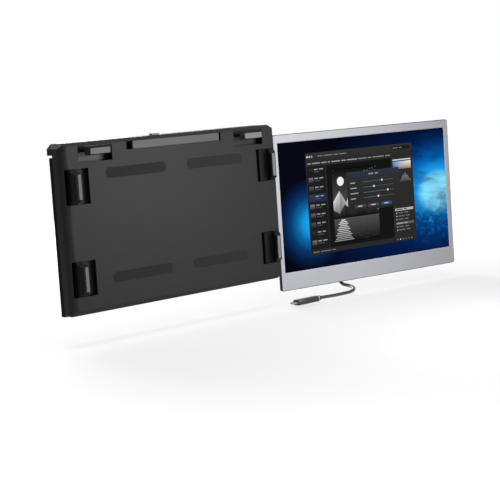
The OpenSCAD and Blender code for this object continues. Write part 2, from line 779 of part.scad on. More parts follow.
function unit(v) = v / norm(v);
function heading(p, i) = unit(p[min(i + 1, len(p) - 1)] - p[max(i - 1, 0)]);
function ring(c, d, r, n) =
    let (a = unit(cross(d, [0.3, 0.2, -1] + d)), b = cross(d, a))
    [for (k = [0 : n - 1]) c + r * (cos(360 * k / n) * a + sin(360 * k / n) * b)];

// A tube that follows the points p
module tube(p, r, n) {
    m = len(p);
    polyhedron(
        points = [for (i = [0 : m - 1]) each ring(p[i], heading(p, i), r, n)],
        faces = concat(
            [[for (k = [0 : n - 1]) k]],
            [for (i = [0 : m - 2], k = [0 : n - 1])
                let (a = i * n + k, b = i * n + (k + 1) % n) [a, a + n, b + n, b]],
            [[for (k = [n - 1 : -1 : 0]) (m - 1) * n + k]]));
}

module usb_lead() color(hook_black) tube(LEAD, lead_d / 2, lead_sides);

module plug_collar() color(hook_black) translate(laptop_end) rotate([0, -90, 0])
    cylinder(h = collar_l, r1 = lead_d / 2 + 0.8, r2 = lead_d / 2 + 1.3);

module laptop_plug() color(hook_black) translate(laptop_end - [collar_l, 0, 0])
    rotate([0, -90, 0]) linear_extrude(laptop_plug_l) round_rect(plug_t, plug_w, 2);

module laptop_plug_tip() color(steel)
    translate(laptop_end - [collar_l + laptop_plug_l, 0, 0]) rotate([0, -90, 0])
        linear_extrude(6.5) rotate(90)
            slot_2d(-(tip_w - tip_t) / 2, (tip_w - tip_t) / 2, tip_t / 2);

front_shell();
rear_cover();
cover_screws();
grip_pads();
guide_screws();
left_hooks();
left_lip_pads();
left_carriage();
right_hooks();
right_lip_pads();
right_carriage();
top_hooks();
top_lip_pads();
top_carriage();
lock_slider();
lock_knob();
kickstand();
kickstand_pins();
kickstand_feet();
hinge_plate();
hinge_pin();
monitor_leaf();
leaf_screws();
monitor_back_shell();
monitor_bezel();
display_panel();
backlight();
driver_board();
usb_socket();
power_button();
monitor_plug();
monitor_plug_tip();
lead_boot();
usb_lead();
plug_collar();
laptop_plug();
laptop_plug_tip();
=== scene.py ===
import json
import math

import bmesh
import bpy
from bpy.props import (
    FloatProperty, FloatVectorProperty, IntProperty, PointerProperty,
)
from mathutils import Matrix, Vector


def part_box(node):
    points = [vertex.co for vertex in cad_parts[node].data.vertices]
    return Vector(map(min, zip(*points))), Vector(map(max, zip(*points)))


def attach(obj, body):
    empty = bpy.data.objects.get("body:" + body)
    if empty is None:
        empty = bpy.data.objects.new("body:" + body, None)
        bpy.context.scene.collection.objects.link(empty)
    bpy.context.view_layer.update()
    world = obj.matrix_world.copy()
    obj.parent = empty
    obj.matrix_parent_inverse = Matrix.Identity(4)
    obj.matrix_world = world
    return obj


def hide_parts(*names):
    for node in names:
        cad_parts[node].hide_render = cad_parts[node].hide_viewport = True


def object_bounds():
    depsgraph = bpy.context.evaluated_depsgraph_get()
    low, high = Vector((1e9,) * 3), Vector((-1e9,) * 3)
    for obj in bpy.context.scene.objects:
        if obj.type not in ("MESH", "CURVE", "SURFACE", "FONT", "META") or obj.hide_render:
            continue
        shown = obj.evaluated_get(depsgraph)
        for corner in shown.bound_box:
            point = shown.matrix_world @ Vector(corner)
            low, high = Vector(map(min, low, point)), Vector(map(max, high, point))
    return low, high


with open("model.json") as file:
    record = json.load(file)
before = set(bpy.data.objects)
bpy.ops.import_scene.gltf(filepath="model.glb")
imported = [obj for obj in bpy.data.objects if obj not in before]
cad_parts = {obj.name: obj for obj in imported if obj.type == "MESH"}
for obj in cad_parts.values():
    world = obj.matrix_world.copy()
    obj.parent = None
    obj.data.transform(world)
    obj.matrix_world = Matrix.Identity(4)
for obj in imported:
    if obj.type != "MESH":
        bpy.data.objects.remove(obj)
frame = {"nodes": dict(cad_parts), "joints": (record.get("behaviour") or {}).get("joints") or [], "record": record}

bl_info = {
    "name": "Laptop Screen Extender",
    "version": (1, 0, 0),
    "blender": (4, 5, 0),
    "location": "View3D > Sidebar > Extender",
    "description": "Dresses the packed parts of a laptop screen extender and lights them",
    "category": "Object",
}

MM = 0.001
CAD_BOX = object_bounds()
FINE_EDGE = 0.2 * MM  # rounding along the edges of small parts
LAYER_GAP = 0.02  # millimetres between the layers of the desktop picture
MIX_FACTOR, MIX_A, MIX_B, MIX_RESULT = 0, 6, 7, 2  # the Mix node's sockets for colours

# Where the camera stands, and the directions of its right, its top and its back
CAMERA_PLACE = (-1.18925, -1.35323, 0.1463)
CAMERA_RIGHT = (0.71445, -0.69645, -0.06725)
CAMERA_UP = (0.12255, 0.02992, 0.99201)
CAMERA_BACK = (-0.68888, -0.71698, 0.10673)
FOCAL_LENGTH = 109.27
SENSOR = 36

# The monitor at rest: its angle towards the viewer, and the place of the swing hinge to the
# right of and behind the monitor's lower left front corner, millimetres
MONITOR_YAW = 6.55
HINGE_RIGHT = 4.5
HINGE_BEHIND = 17

# Areas of the desktop picture: left, top, right and bottom as shares of the lit screen
WINDOW = (0.152, 0.098, 0.792, 0.893)
TITLE_BAR = (0.152, 0.098, 0.792, 0.160)
SEARCH_FIELD = (0.665, 0.114, 0.778, 0.142)
LIST_COLUMN = (0.157, 0.205, 0.262, 0.855)
CANVAS = (0.268, 0.205, 0.655, 0.855)
LANDSCAPE = (0.298, 0.243, 0.566, 0.830)
TOOL_COLUMN = (0.660, 0.205, 0.787, 0.855)
PALETTE = (0.383, 0.283, 0.702, 0.597)
PALETTE_HEAD = (0.383, 0.283, 0.702, 0.340)

# Route of the lead from the monitor's plug to the laptop's plug, millimetres
LEAD_ROUTE = (
    (280.4, 9.5, -112.5), (280.4, 9.5, -114.5), (280.4, 8.9, -117),
    (280.5, 7.2, -119.4), (280.7, 4.7, -121.2), (280.9, 1.5, -122.3),
    (281, -2.5, -122.8), (280.8, -7, -123.2), (279.7, -12, -123.7),
    (277.5, -17, -124.3), (273.9, -22, -125), (269, -26.3, -125.7),
    (262.7, -29.7, -126.4), (255.4, -31.6, -126.8), (247.2, -32, -127),
    (238, -32, -127), (228, -32, -127), (218, -32, -126.8), (209, -32, -126.4),
    (203, -32, -126.2), (198, -32, -126.2),
)


# ---------- settings ----------

def colour(name, description, value):
    return FloatVectorProperty(name=name, description=description, default=value,
                               size=3, min=0, max=1, subtype="COLOR")


def length(name, description, millimetres, low=0.0, high=100.0):
    return FloatProperty(name=name, description=description, default=millimetres * MM,
                         min=low * MM, max=high * MM, unit="LENGTH", precision=5)


def amount(name, description, value, low=0.0, high=1.0):
    return FloatProperty(name=name, description=description, default=value,
                         min=low, max=high, subtype="FACTOR")


def power(name, description, watts):
    return FloatProperty(name=name, description=description, default=watts,
                         min=0.0, max=500.0, unit="POWER")


class HousingSettings(bpy.types.PropertyGroup):
    shell: colour("Housing", "Colour of the moulded housing", (0.0185, 0.0185, 0.0195))
    stand: colour("Kickstand", "Colour of the kickstand panel", (0.0125, 0.0125, 0.013))
    hooks: colour("Hooks", "Colour of the hooks", (0.010, 0.010, 0.011))
    pads: colour("Lip pads", "Colour of the soft pads on the hooks' lips", (0.26, 0.26, 0.27))
    slider: colour("Lock slider", "Colour of the lock slider", (0.09, 0.09, 0.094))
    knob: colour("Thumb knob", "Colour of the slider's thumb knob", (0.30, 0.30, 0.31))
    edge: length("Edge rounding", "Rounding along the housing's edges", 0.35, 0.05, 1.0)
    hook_edge: length("Hook rounding", "Rounding along the hooks' edges", 0.5, 0.05, 1.0)
    grain: length("Grain", "Size of the moulded grain", 0.45, 0.1, 2.0)


class MonitorSettings(bpy.types.PropertyGroup):
    silver: colour("Frame", "Colour of the silver frame", (0.62, 0.63, 0.675))
    back: colour("Back", "Colour of the monitor's back shell", (0.030, 0.030, 0.032))
    edge: length("Edge rounding", "Rounding along the monitor's edges", 0.25, 0.05, 1.0)
    screen_glow: FloatProperty(name="Screen brightness", description="Strength of the lit screen",
                               default=1.0, min=0.0, max=4.0)


class LeadSettings(bpy.types.PropertyGroup):
    diameter: length("Diameter", "Diameter of the lead", 4.4, 3.0, 6.0)
    jacket: colour("Jacket", "Colour of the lead", (0.012, 0.012, 0.013))
    sides: IntProperty(name="Sides", description="Steps round the lead", default=6, min=2, max=16)


class StageSettings(bpy.types.PropertyGroup):
    floor: colour("Floor", "Colour of the floor", (0.25, 0.25, 0.25))
    key: power("Key light", "Strength of the front light", 1.75)
    side: power("Side light", "Strength of the soft light at the left", 1.0)
    rear: power("Rear light", "Strength of the soft light behind", 34.0)
    overhead: FloatProperty(name="Overhead light", description="Strength of the even light above",
                            default=1.7, min=0.0, max=10.0)
    fill: FloatProperty(name="Fill", description="Strength of the even light from all round",
                        default=0.04, min=0.0, max=2.0)
    white: amount("Floor white", "White that the camera sees on top of the floor's shading", 0.87)
    near_white: amount("White near the object", "The same, where the shadow falls", 0.60)
    shadow_reach: length("Shadow reach", "Stretch of floor round the object that keeps its shadow",
                         300.0, 0.0, 2000.0)
    mirror: amount("Mirrored white", "How much of the white surround shows in reflections", 0.25)
    floor_drop: length("Floor gap", "Floor below the lowest piece", 4.0, 0.0, 50.0)


# ---------- materials ----------

def arithmetic(tree, how, a, b):
    """The result of a Math node that takes two sockets or numbers."""
    node = tree.nodes.new("ShaderNodeMath")
    node.operation = how
    for source, socket in zip((a, b), node.inputs):
        if isinstance(source, bpy.types.NodeSocket):
            tree.links.new(source, socket)
        else:
            socket.default_value = source
    return node.outputs[0]


class Recipe:
    """Builds a material from nodes, from left to right."""

    def __init__(self, name, base, roughness, metallic=0.0, specular=0.5):
        self.material = bpy.data.materials.new(name)
        self.material.use_nodes = True
        self.tree = self.material.node_tree
        self.shader = self.tree.nodes["Principled BSDF"]
        self.shader.inputs["Base Color"].default_value = (*base, 1)
        self.shader.inputs["Roughness"].default_value = roughness
        self.shader.inputs["Metallic"].default_value = metallic
        self.shader.inputs["Specular IOR Level"].default_value = specular
        self.place = self.add("ShaderNodeTexCoord").outputs["Object"]

    def add(self, kind, **settings):
        node = self.tree.nodes.new(kind)
        for key, value in settings.items():
            setattr(node, key, value)
        return node

    def link(self, source, target):
        self.tree.links.new(source, target)

    def stretched(self, scale, place=None):
        node = self.add("ShaderNodeMapping")
        node.inputs["Scale"].default_value = scale
        self.link(place or self.place, node.inputs["Vector"])
        return node.outputs["Vector"]

    def noise(self, size, detail=4.0, rough=0.55, where=None):
        node = self.add("ShaderNodeTexNoise")
        node.inputs["Scale"].default_value = 1.0 / size
        node.inputs["Detail"].default_value = detail
        node.inputs["Roughness"].default_value = rough
        self.link(where or self.place, node.inputs["Vector"])
        return node.outputs["Fac"]

    def ramp(self, source, stops):
        node = self.add("ShaderNodeValToRGB")
        bands = node.color_ramp.elements
        while len(bands) < len(stops):
            bands.new(0.5)
        for band, (place, tint) in zip(bands, stops):
            band.position = place
            band.color = (*tint, 1) if isinstance(tint, tuple) else (tint, tint, tint, 1)
        self.link(source, node.inputs["Fac"])
        return node.outputs["Color"]

    def spread(self, source, low, high):
        node = self.add("ShaderNodeMapRange")
        node.inputs["To Min"].default_value = low
        node.inputs["To Max"].default_value = high
        self.link(source, node.inputs["Value"])
        return node.outputs["Result"]

    def mix(self, factor, a, b):
        node = self.add("ShaderNodeMix", data_type="RGBA")
        for index, value in ((MIX_FACTOR, factor), (MIX_A, a), (MIX_B, b)):
            socket = node.inputs[index]
            if isinstance(value, bpy.types.NodeSocket):
                self.link(value, socket)
            elif isinstance(value, tuple):
                socket.default_value = (*value, 1)
            else:
                socket.default_value = value
        return node.outputs[MIX_RESULT]

    def blend(self, how, a, b):
        """The whole of one colour added to, or multiplied with, the other."""
        node = self.add("ShaderNodeMix", data_type="RGBA", blend_type=how)
        node.inputs[MIX_FACTOR].default_value = 1.0
        self.link(a, node.inputs[MIX_A])
        self.link(b, node.inputs[MIX_B])
        return node.outputs[MIX_RESULT]

    def bump(self, source, height, strength):
        node = self.add("ShaderNodeBump")
        node.inputs["Distance"].default_value = height
        node.inputs["Strength"].default_value = strength
        self.link(source, node.inputs["Height"])
        self.link(node.outputs["Normal"], self.shader.inputs["Normal"])

    def paint(self, tint, worn=None):
        """Feeds the colour to the shader; worn is what scuffs bring out along an edge."""
        if worn:
            scuffs = self.ramp(self.noise(5 * MM, detail=6.0), ((0.42, 0.25), (0.62, 1.0)))
            tint = self.mix(scuffs, tint, worn)
        self.link(tint, self.shader.inputs["Base Color"])


def shade(base, factor):
    return tuple(min(1.0, c * factor) for c in base)


def moulded_plastic(name, base, roughness, grain, depth=0.012, wear=1.6, specular=0.5,
                    edge=False):
    """Plastic with a fine moulded grain; its edges are a little polished by hands."""
    if edge:
        roughness -= 0.12
    r = Recipe(name, base, roughness, specular=specular)
    cloud = r.noise(35 * MM, detail=3.0)
    tint = r.mix(cloud, shade(base, 0.94), shade(base, 1.06))
    r.paint(tint, shade(base, wear) if edge else None)
    fine = r.noise(grain, detail=5.0, rough=0.6)
    rubbed = r.spread(r.noise(60 * MM, detail=5.0), -0.12, 0.12)
    both = arithmetic(r.tree, "ADD", fine, rubbed)
    r.link(r.spread(both, roughness - 0.07, roughness + 0.09), r.shader.inputs["Roughness"])
    r.bump(fine, depth * MM, 0.5)
    return r.material


def soft_rubber(name, base, edge=False):
    r = Recipe(name, base, 0.8, specular=0.3)
    cloud = r.noise(9 * MM, detail=4.0)
    r.paint(r.mix(cloud, shade(base, 0.9), shade(base, 1.08)), shade(base, 1.2) if edge else None)
    fine = r.noise(0.6 * MM, detail=4.0)
    r.link(r.spread(fine, 0.72, 0.88), r.shader.inputs["Roughness"])
    r.bump(fine, 0.03 * MM, 0.5)
    return r.material


def smooth_jacket(name, base):
    """The lead's jacket: smooth, with a clear highlight and a faint drawn texture."""
    r = Recipe(name, base, 0.3, specular=0.9)
    r.shader.inputs["Coat Weight"].default_value = 1.0
    r.shader.inputs["Coat Roughness"].default_value = 0.32
    r.shader.inputs["Coat IOR"].default_value = 1.8
    cloud = r.noise(12 * MM, detail=4.0)
    r.paint(r.mix(cloud, shade(base, 0.9), shade(base, 1.15)))
    fine = r.noise(0.8 * MM, detail=4.0)
    r.link(r.spread(fine, 0.25, 0.38), r.shader.inputs["Roughness"])
    r.bump(fine, 0.01 * MM, 0.4)
    return r.material


def brushed_metal(name, base, roughness, along, metallic=1.0, edge=False):
    """Metal with fine lines; along holds the stretch on each axis."""
    r = Recipe(name, base, roughness, metallic=metallic)
    lines = r.noise(0.25 * MM, detail=3.0, where=r.stretched(along))
    cloud = r.noise(30 * MM, detail=3.0)
    tint = r.mix(cloud, shade(base, 0.95), shade(base, 1.04))
    r.paint(tint, shade(base, 1.25) if edge else None)
    r.link(r.spread(lines, roughness - 0.07, roughness + 0.1), r.shader.inputs["Roughness"])
    r.bump(lines, 0.006 * MM, 0.35)
    return r.material


def coated_steel(name, base, edge=False):
    """Black coated sheet, rubbed through to the metal in places along its edges."""
    r = Recipe(name, base, 0.42)
    peel = r.noise(0.9 * MM, detail=2.0)
    r.paint(r.mix(peel, shade(base, 0.92), shade(base, 1.06)),
            (0.20, 0.20, 0.21) if edge else None)
    r.link(r.spread(peel, 0.36, 0.5), r.shader.inputs["Roughness"])
    r.bump(peel, 0.02 * MM, 0.4)
    return r.material


def silver_frame(name, base, edge=False):
    """Satin silver with a fine sparkle; its edges are smoother and carry a painted highlight, a lighter colour
    along them.
    """
    if edge:
        # Painted highlight: the colour along the frame's edges is made lighter.
        base = shade(base, 1.38)
    r = Recipe(name, base, 0.3 if edge else 0.42, metallic=0.1, specular=0.35)
    cloud = r.noise(45 * MM, detail=3.0)
    flake = r.ramp(r.noise(0.5 * MM, detail=6.0, rough=0.7), ((0.35, 0.93), (0.7, 1.06)))
    r.paint(r.blend("MULTIPLY", r.mix(cloud, shade(base, 0.96), shade(base, 1.04)), flake))
    lines = r.noise(0.3 * MM, detail=3.0, where=r.stretched((0.03, 1, 1)))
    smoothest = 0.24 if edge else 0.36
    r.link(r.spread(lines, smoothest, smoothest + 0.14), r.shader.inputs["Roughness"])
    r.bump(lines, 0.004 * MM, 0.4)
    return r.material


def solder_mask(name, base):
    r = Recipe(name, base, 0.35)
    tracks = r.noise(3 * MM, detail=2.0, where=r.stretched((1, 1, 4)))
    r.link(r.mix(r.ramp(tracks, ((0.48, 0.0), (0.52, 1.0))), base, shade(base, 1.5)),
           r.shader.inputs["Base Color"])
    fine = r.noise(0.5 * MM)
    r.link(r.spread(fine, 0.3, 0.42), r.shader.inputs["Roughness"])
    r.bump(tracks, 0.02 * MM, 0.4)
    return r.material


MATERIALS = {}


def finish(slot, edge=False):
    """The material of one of the record's slots, or of its edges, made on first use."""
    name = slot + "_edge" if edge else slot
    if name in MATERIALS:
        return MATERIALS[name]
    h = bpy.context.scene.extender_housing
    m = bpy.context.scene.extender_monitor
    lead = bpy.context.scene.extender_lead
    black = (0.022, 0.022, 0.023)
    satin = 0.6 * MM
    makers = {
        "housing_plastic": (moulded_plastic, dict(
            base=tuple(h.shell), roughness=0.52, grain=h.grain, wear=1.8, specular=0.32)),
        "stand_plastic": (moulded_plastic, dict(
            base=tuple(h.stand), roughness=0.6, grain=h.grain, depth=0.016, wear=1.8,
            specular=0.1)),
        "hook_plastic": (moulded_plastic, dict(
            base=tuple(h.hooks), roughness=0.5, grain=satin, depth=0.01, wear=1.8,
            specular=0.2)),
        "slider_plastic": (moulded_plastic, dict(
            base=tuple(h.slider), roughness=0.45, grain=satin, depth=0.01)),
        "knob_plastic": (moulded_plastic, dict(
            base=tuple(h.knob), roughness=0.45, grain=satin, depth=0.01)),
        "back_plastic": (moulded_plastic, dict(
            base=tuple(m.back), roughness=0.5, grain=satin, wear=2.0, specular=0.4)),
        "button_plastic": (moulded_plastic, dict(
            base=(0.06, 0.06, 0.064), roughness=0.4, grain=satin)),
        "plug_plastic": (moulded_plastic, dict(
            base=black, roughness=0.28, grain=0.5 * MM, depth=0.006, wear=2.0, specular=1.0)),
        "lip_pad": (soft_rubber, dict(base=tuple(h.pads))),
        "grip_rubber": (soft_rubber, dict(base=black)),
        "foot_rubber": (soft_rubber, dict(base=black)),
        "lead_jacket": (smooth_jacket, dict(base=tuple(lead.jacket))),
        "carriage_metal": (coated_steel, dict(base=(0.03, 0.03, 0.032))),
        "hinge_metal": (coated_steel, dict(base=(0.05, 0.05, 0.052))),
        "backlight_metal": (brushed_metal, dict(
            base=(0.6, 0.6, 0.6), roughness=0.4, along=(0.04, 1, 1))),
        "pin_steel": (brushed_metal, dict(
            base=(0.5, 0.5, 0.52), roughness=0.3, along=(1, 1, 0.05))),
        "screw_steel": (brushed_metal, dict(
            base=(0.2, 0.2, 0.21), roughness=0.35, along=(1, 1, 1))),
        "socket_metal": (brushed_metal, dict(
            base=(0.62, 0.62, 0.63), roughness=0.28, along=(0.1, 1, 1))),
        "frame_silver": (silver_frame, dict(base=tuple(m.silver))),
        "board": (solder_mask, dict(base=(0.02, 0.14, 0.06))),
        "screen_glass": (dark_glass, {}),
    }
    maker, facts = makers[slot]
    if edge:
        facts["edge"] = True
    MATERIALS[name] = maker(name, **facts)
    return MATERIALS[name]


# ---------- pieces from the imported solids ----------

def slot_of(node):
    for part in frame["record"]["subparts"]:
        if part["node"] == node:
            return part["material_slot"]
    raise RuntimeError(f"no material slot for {node}")


def dress(*nodes):
    """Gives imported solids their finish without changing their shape."""
    for node in nodes:
        obj = frame["nodes"][node]
        material = finish(slot_of(node))
        if not obj.material_slots:
            obj.data.materials.append(material)
        for place in obj.material_slots:
            place.material = material


def new_object(name, mesh, slot, body, materials=None):
    obj = bpy.data.objects.new(name, mesh)
    bpy.context.scene.collection.objects.link(obj)
    for material in materials or [finish(slot)]:
        mesh.materials.append(material)
    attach(obj, body)
    return obj


def body_of(node):
    for body, nodes in frame["record"]["behaviour"]["bodies"].items():
        if node in nodes:
            return body
    raise RuntimeError(f"{node} is on no body")


def apply_modifiers(obj):
    graph = bpy.context.evaluated_depsgraph_get()
    mesh = bpy.data.meshes.new_from_object(obj.evaluated_get(graph))
    obj.modifiers.clear()
    obj.data = mesh


def smooth_by_angle(mesh, degrees):
    limit = math.radians(degrees)
    bm = bmesh.new()
    bm.from_mesh(mesh)
    for face in bm.faces:
        face.smooth = True
    for edge in bm.edges:
        edge.smooth = len(edge.link_faces) == 2 and edge.calc_face_angle(0.0) < limit
    bm.to_mesh(mesh)
    bm.free()


def soften(node, width=FINE_EDGE, segments=2, angle=28, pierced=False):
    """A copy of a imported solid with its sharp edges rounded, which stands for the solid.

    pierced is for a solid whose flat faces have holes through them."""
    source = frame["nodes"][node]
    mesh = source.data.copy()
    mesh.name = node + "_soft"
    mesh.materials.clear()
    bm = bmesh.new()
    bm.from_mesh(mesh)
    bmesh.ops.remove_doubles(bm, verts=bm.verts, dist=1e-6)
    bmesh.ops.dissolve_limit(bm, angle_limit=math.radians(0.5), verts=bm.verts,
                             edges=bm.edges, use_dissolve_boundaries=False)
    if pierced:
        bmesh.ops.triangulate(bm, faces=bm.faces[:])
    bm.to_mesh(mesh)
    bm.free()
    slot = slot_of(node)
    obj = new_object(node + "_soft", mesh, slot, body_of(node),
                     [finish(slot), finish(slot, edge=True)])
    bevel = obj.modifiers.new("edges", "BEVEL")
    bevel.material = 1
    bevel.width = width
    bevel.segments = segments
    bevel.limit_method = "ANGLE"
    bevel.angle_limit = math.radians(angle)
    bevel.use_clamp_overlap = True
    bevel.miter_outer = "MITER_ARC"
    bevel.harden_normals = True
    apply_modifiers(obj)
    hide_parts(node)
    return obj


# ---------- camera and lead ----------

class EXTENDER_OT_camera(bpy.types.Operator):
    """Place the camera in front of the left end of the housing"""
    bl_idname = "extender.camera"
    bl_label = "Camera"

    def execute(self, context):
        data = bpy.data.cameras.new("camera")
        data.sensor_width = SENSOR
        data.lens = FOCAL_LENGTH
        data.clip_start = 0.05
        data.clip_end = 50
        camera = bpy.data.objects.new("camera", data)
        context.scene.collection.objects.link(camera)
        turn = Matrix((CAMERA_RIGHT, CAMERA_UP, CAMERA_BACK)).transposed().to_4x4()
        camera.matrix_world = Matrix.Translation(CAMERA_PLACE) @ turn
        context.scene.camera = camera
        return {"FINISHED"}


class EXTENDER_OT_lead(bpy.types.Operator):
    """Make the lead between monitor and laptop, with its plugs"""
    bl_idname = "extender.lead"
    bl_label = "Lead"

    def execute(self, context):
        s = context.scene.extender_lead
        points = [Vector(p) * MM for p in LEAD_ROUTE]
        curve = bpy.data.curves.new("lead", "CURVE")
        curve.dimensions = "3D"
        curve.bevel_depth = s.diameter / 2
        curve.bevel_resolution = s.sides
        curve.use_fill_caps = True
        spline = curve.splines.new("NURBS")
        spline.points.add(len(points) - 1)
        for point, place in zip(spline.points, points):
            point.co = (*place, 1)
        spline.order_u = 4
        spline.use_endpoint_u = True
        spline.resolution_u = 10
        lead = bpy.data.objects.new("lead", curve)
        context.scene.collection.objects.link(lead)
        curve.materials.append(finish("lead_jacket"))
        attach(lead, "monitor")
        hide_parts("usb_lead")
        pieces = [soften("monitor_plug", 0.5 * MM), soften("laptop_plug", 0.6 * MM)]
        pieces += [soften("plug_collar", 0.3 * MM), self.band()]
        dress("lead_boot", "monitor_plug_tip", "laptop_plug_tip")
        return {"FINISHED"}

    def band(self):
        """Bright band round the laptop's plug, at its end by the collar."""
        low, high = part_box("laptop_plug")
        middle = (low + high) / 2
        corner = 2 * MM
        flat_y = (high.y - low.y) / 2 - corner
        flat_z = (high.z - low.z) / 2 - corner
        start = high.x - 0.3 * MM
        wide = 1.2 * MM
        stands_out = 0.15 * MM
        steps = 32
        profile = ((0.0, 0.0), (0.2, 1.0), (0.8, 1.0), (1.0, 0.0))  # shares of wide, stands_out
        bm = bmesh.new()
        rows = []
        for along, out in profile:
            row = []
            for k in range(steps):
                turn = 2 * math.pi * (k + 0.5) / steps
                across, up = math.cos(turn), math.sin(turn)
                radius = corner + out * stands_out
                row.append(bm.verts.new((start - along * wide,
                                         middle.y + math.copysign(flat_y, across) + radius * across,
                                         middle.z + math.copysign(flat_z, up) + radius * up)))
            rows.append(row)
        for a, b in zip(rows, rows[1:]):
            for k in range(steps):
                bm.faces.new((a[k], a[(k + 1) % steps], b[(k + 1) % steps], b[k]))
        bm.faces.new(list(reversed(rows[0])))
        bm.faces.new(rows[-1])
        bmesh.ops.recalc_face_normals(bm, faces=bm.faces)
        mesh = bpy.data.meshes.new("plug_band")
        bm.to_mesh(mesh)
        bm.free()
        smooth_by_angle(mesh, 40)
        return new_object("plug_band", mesh, "socket_metal", "monitor")


# ---------- housing ----------

class EXTENDER_OT_housing(bpy.types.Operator):
    """Finish the front shell, the rear cover and what is fixed to them"""
    bl_idname = "extender.housing"
    bl_label = "Housing"

    def execute(self, context):
        edge = context.scene.extender_housing.edge
        soften("front_shell", edge)
        soften("rear_cover", edge)
        soften("grip_pads", 0.15 * MM)
        dress("cover_screws", "guide_screws", "kickstand_pins")
        return {"FINISHED"}


class EXTENDER_OT_hooks(bpy.types.Operator):
    """Finish the six hooks, their pads and the carriages"""
    bl_idname = "extender.hooks"
    bl_label = "Hooks"

    def execute(self, context):
        edge = context.scene.extender_housing.hook_edge
        for side in ("left", "right", "top"):
            soften(side + "_hooks", edge, 3)
            soften(side + "_lip_pads")
            dress(side + "_carriage")
        return {"FINISHED"}


class EXTENDER_OT_lock(bpy.types.Operator):
    """Finish the lock slider and its thumb knob"""
    bl_idname = "extender.lock"
    bl_label = "Lock slider"

    def execute(self, context):
        soften("lock_slider")
        soften("lock_knob")
        return {"FINISHED"}


class EXTENDER_OT_kickstand(bpy.types.Operator):
    """Finish the kickstand and its rubber feet"""
    bl_idname = "extender.kickstand"
    bl_label = "Kickstand"

    def execute(self, context):
        soften("kickstand", context.scene.extender_housing.edge, pierced=True)
        soften("kickstand_feet")
        return {"FINISHED"}


class EXTENDER_OT_hinge(bpy.types.Operator):
    """Finish the pull-out plate, the pin and the monitor's leaf"""
    bl_idname = "extender.hinge"
    bl_label = "Swing hinge"

    def execute(self, context):
        soften("hinge_plate")
        soften("monitor_leaf")
        dress("hinge_pin", "leaf_screws")
        return {"FINISHED"}


# ---------- monitor ----------

def monitor_matrix():
    """From the monitor's own axes (lower left front corner) to the part's."""
    axis = next(Vector(joint["pos_m"]) for joint in frame["joints"]
                if joint["name"] == "monitor_swing")
    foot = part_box("monitor_back_shell")[0].z
    turn = Matrix.Rotation(-math.radians(MONITOR_YAW), 4, "Z")
    corner = Matrix.Translation((-HINGE_RIGHT * MM, -HINGE_BEHIND * MM, 0))
    return Matrix.Translation((axis.x, axis.y, foot)) @ turn @ corner


class EXTENDER_OT_monitor(bpy.types.Operator):
    """Finish the monitor's back shell, its frame and what is inside"""
    bl_idname = "extender.monitor"
    bl_label = "Monitor"

    def execute(self, context):
        edge = context.scene.extender_monitor.edge
        soften("monitor_back_shell", edge, pierced=True)
        # The bezel's rounded edges take the frame's edge material, which has a painted highlight.
        soften("monitor_bezel", 0.4 * MM, pierced=True)
        soften("power_button")
        dress("backlight", "driver_board", "usb_socket")
        return {"FINISHED"}


def dark_glass(name):
    """The screen where nothing lights it."""
    r = Recipe(name, (0.004, 0.004, 0.006), 0.3, specular=0.03)
    r.link(r.spread(r.noise(0.3 * MM), 0.25, 0.38), r.shader.inputs["Roughness"])
    return r.material


def lit_glass(name, strength):
    """A recipe for a lit stretch of the screen, with its faint mat surface."""
    r = Recipe(name, (0.001, 0.001, 0.0015), 0.3, specular=0.01)
    r.shader.inputs["Emission Strength"].default_value = strength
    r.link(r.spread(r.noise(0.3 * MM), 0.25, 0.38), r.shader.inputs["Roughness"])
    return r


